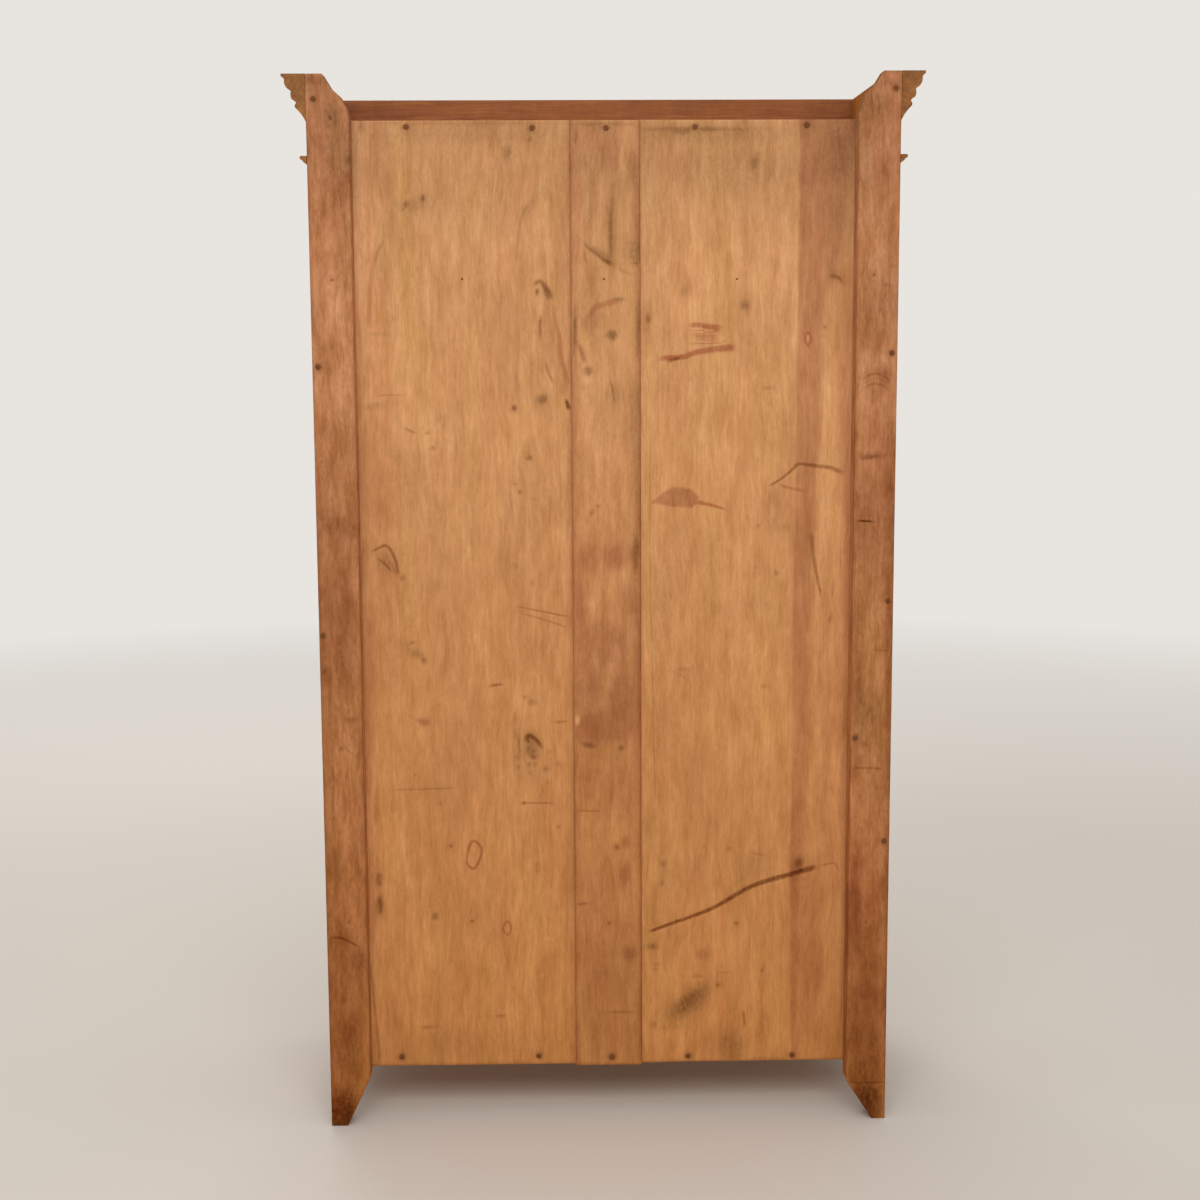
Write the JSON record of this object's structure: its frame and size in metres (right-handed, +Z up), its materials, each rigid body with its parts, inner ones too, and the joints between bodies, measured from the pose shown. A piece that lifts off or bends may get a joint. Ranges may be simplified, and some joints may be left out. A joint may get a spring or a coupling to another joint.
{
  "type": "hall wardrobe",
  "caption": "Old softwood hall wardrobe with a stepped cornice, tapered feet and a nailed board back; a panelled door with a rim lock opens on coat hooks and a hat shelf.",
  "frame": {"origin": "on the floor, under the middle of the whole object", "axes": "+Z up, the front faces -Y and the nailed back +Y, left seen from the front is -X"},
  "size_m": [1.11, 0.521, 1.9],
  "materials": {
    "back_wood": "bare old pine boards, planed by hand, knots, stains and dirt",
    "post_wood": "bare dark old pine, worn edges",
    "front_wood": "old pine, honey-red wax and shellac, worn",
    "inside_wood": "bare pine, aged",
    "hook_iron": "black cast iron, worn",
    "hinge_iron": "forged iron, brown patina",
    "lock_steel": "dark steel with brown patina",
    "brass": "aged brass"
  },
  "bodies": {
    "carcass": {"astragal_front": "front_wood", "astragal_left": "front_wood", "astragal_right": "front_wood", "back_board_centre": "back_wood", "back_board_left": "back_wood", "back_board_right": "back_wood", "bottom_board": "inside_wood", "bottom_rail": "front_wood", "coat_hook_1": "hook_iron", "coat_hook_2": "hook_iron", "coat_hook_3": "hook_iron", "coat_hook_4": "hook_iron", "coat_hook_5": "hook_iron", "cornice_front": "front_wood", "cornice_left": "front_wood", "cornice_right": "front_wood", "door_post_left": "front_wood", "door_post_right": "front_wood", "door_stop_bottom": "inside_wood", "door_stop_top": "inside_wood", "frieze_board": "front_wood", "front_panel_left": "front_wood", "front_panel_right": "front_wood", "front_post_left": "front_wood", "front_post_right": "front_wood", "hat_shelf": "inside_wood", "hinge_frame_leaf_lower": "hinge_iron", "hinge_frame_leaf_upper": "hinge_iron", "hinge_pin_lower": "hinge_iron", "hinge_pin_upper": "hinge_iron", "hook_rail": "inside_wood", "lock_keep": "lock_steel", "rear_foot_tip_left": "post_wood", "rear_post_left": "post_wood", "rear_post_right": "post_wood", "shelf_cleat_left": "inside_wood", "shelf_cleat_right": "inside_wood", "side_board_left": "front_wood", "side_board_right": "front_wood", "top_board": "inside_wood"},
    "door": {"door_bottom_rail": "front_wood", "door_middle_rail": "front_wood", "door_panel_lower": "front_wood", "door_panel_upper": "front_wood", "door_stile_hinge": "front_wood", "door_stile_lock": "front_wood", "door_top_rail": "front_wood", "escutcheon": "brass", "hinge_door_leaf_lower": "hinge_iron", "hinge_door_leaf_upper": "hinge_iron", "lock_case": "lock_steel"},
    "bolt": {"lock_bolt": "lock_steel"},
    "key": {"key": "brass"}
  },
  "joints": [
    {"name": "door_hinge", "type": "hinge", "parent": "carcass", "child": "door", "pos_m": [-0.288, -0.226, 0.9], "axis": [0, 0, -1], "range_deg": [0, 160]},
    {"name": "key_turn", "type": "hinge", "parent": "door", "child": "key", "pos_m": [0.244, -0.2195, 0.96], "axis": [0, 1, 0], "range_deg": [0, 180]},
    {"name": "bolt_slide", "type": "slide", "parent": "door", "child": "bolt", "axis": [1, 0, 0], "range_m": [0, 0.012]}
  ],
  "couplings": [
    {"joint": "key_turn", "follows": "bolt_slide", "rad_per_m": 261.8}
  ]
}
